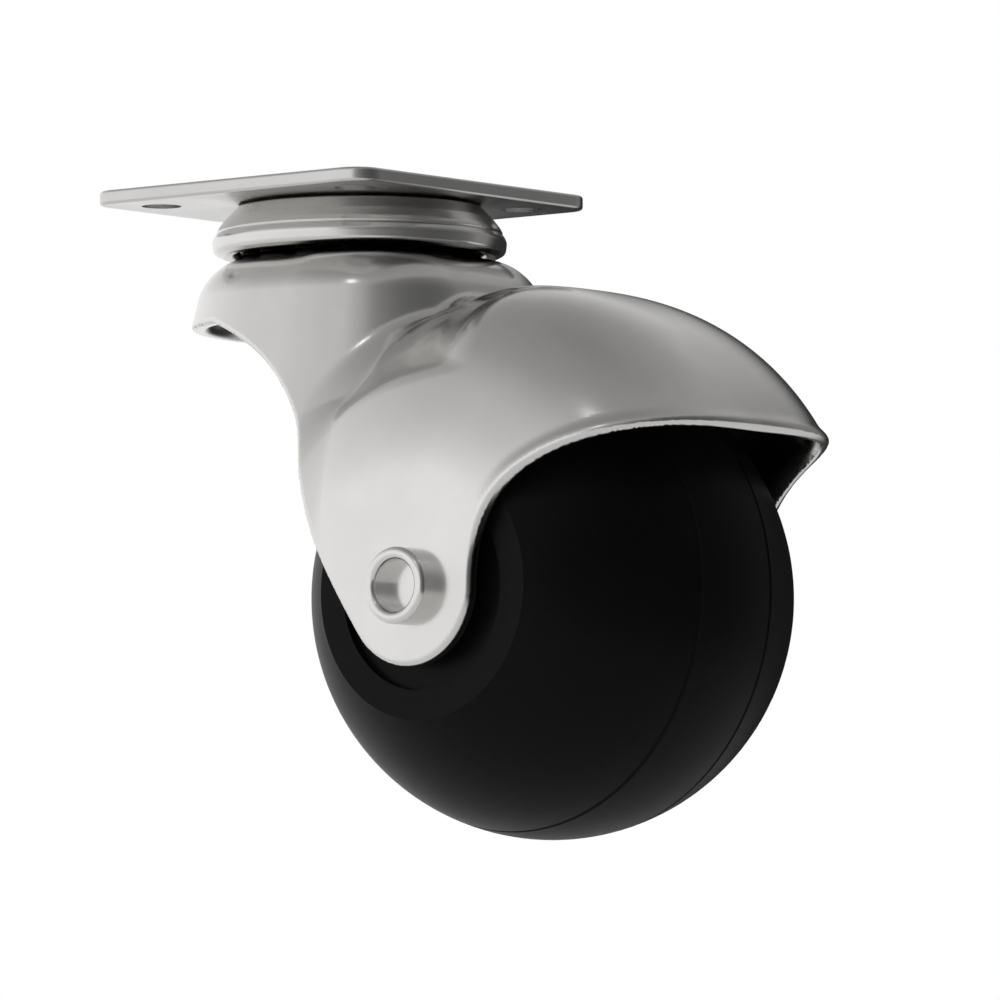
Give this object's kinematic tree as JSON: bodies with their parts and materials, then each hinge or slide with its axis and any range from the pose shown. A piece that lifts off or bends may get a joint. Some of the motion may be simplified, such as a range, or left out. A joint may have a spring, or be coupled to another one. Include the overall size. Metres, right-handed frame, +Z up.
{
  "type": "ball castor",
  "caption": "Hooded ball castor: a square screw-on plate and ball-race swivel over a pressed metal hood whose two legs carry a black ball on a riveted axle.",
  "frame": {"origin": "centre of the four screw holes, in the top face of the plate", "axes": "+Z up, out of the plate's top face; +X from the swivel axis towards the ball at rest, along the trail; +Y along the axle"},
  "size_m": [0.0764, 0.0512, 0.0693],
  "materials": {
    "plated_steel": "satin nickel plate",
    "race_steel": "hardened, satin",
    "bearing_steel": "polished",
    "ball_plastic": "moulded, satin",
    "tread_rubber": "satin",
    "bush_plastic": "matte",
    "spacer_plastic": "matte"
  },
  "bodies": {
    "plate": {"top_plate": "plated_steel", "collar": "plated_steel", "kingpin": "plated_steel", "lower_race": "race_steel"},
    "hood": {"hood": "plated_steel", "axle": "plated_steel", "spacer_near": "spacer_plastic", "spacer_far": "spacer_plastic"},
    "upper_row": {"upper_ball_01": "bearing_steel", "upper_ball_02": "bearing_steel", "upper_ball_03": "bearing_steel", "upper_ball_04": "bearing_steel", "upper_ball_05": "bearing_steel", "upper_ball_06": "bearing_steel", "upper_ball_07": "bearing_steel", "upper_ball_08": "bearing_steel", "upper_ball_09": "bearing_steel", "upper_ball_10": "bearing_steel", "upper_ball_11": "bearing_steel", "upper_ball_12": "bearing_steel", "upper_ball_13": "bearing_steel", "upper_ball_14": "bearing_steel"},
    "lower_row": {"lower_ball_01": "bearing_steel", "lower_ball_02": "bearing_steel", "lower_ball_03": "bearing_steel", "lower_ball_04": "bearing_steel", "lower_ball_05": "bearing_steel", "lower_ball_06": "bearing_steel", "lower_ball_07": "bearing_steel", "lower_ball_08": "bearing_steel", "lower_ball_09": "bearing_steel", "lower_ball_10": "bearing_steel", "lower_ball_11": "bearing_steel", "lower_ball_12": "bearing_steel"},
    "ball": {"ball_half_near": "ball_plastic", "ball_half_far": "ball_plastic", "tread": "tread_rubber", "axle_bush": "bush_plastic"}
  },
  "joints": [
    {"name": "swivel", "type": "hinge", "parent": "plate", "child": "hood", "pos_m": [0.0025, 0, 0], "axis": [0, 0, 1], "continuous": true},
    {"name": "upper_row_turn", "type": "hinge", "parent": "plate", "child": "upper_row", "pos_m": [0.0025, 0, 0], "axis": [0, 0, 1], "continuous": true},
    {"name": "lower_row_turn", "type": "hinge", "parent": "plate", "child": "lower_row", "pos_m": [0.0025, 0, 0], "axis": [0, 0, 1], "continuous": true},
    {"name": "ball_roll", "type": "hinge", "parent": "hood", "child": "ball", "pos_m": [0.029, 0, -0.0443], "axis": [0, 1, 0], "continuous": true}
  ],
  "couplings": [
    {"joint": "upper_row_turn", "follows": "swivel", "ratio": 0.5},
    {"joint": "lower_row_turn", "follows": "swivel", "ratio": 0.5}
  ]
}
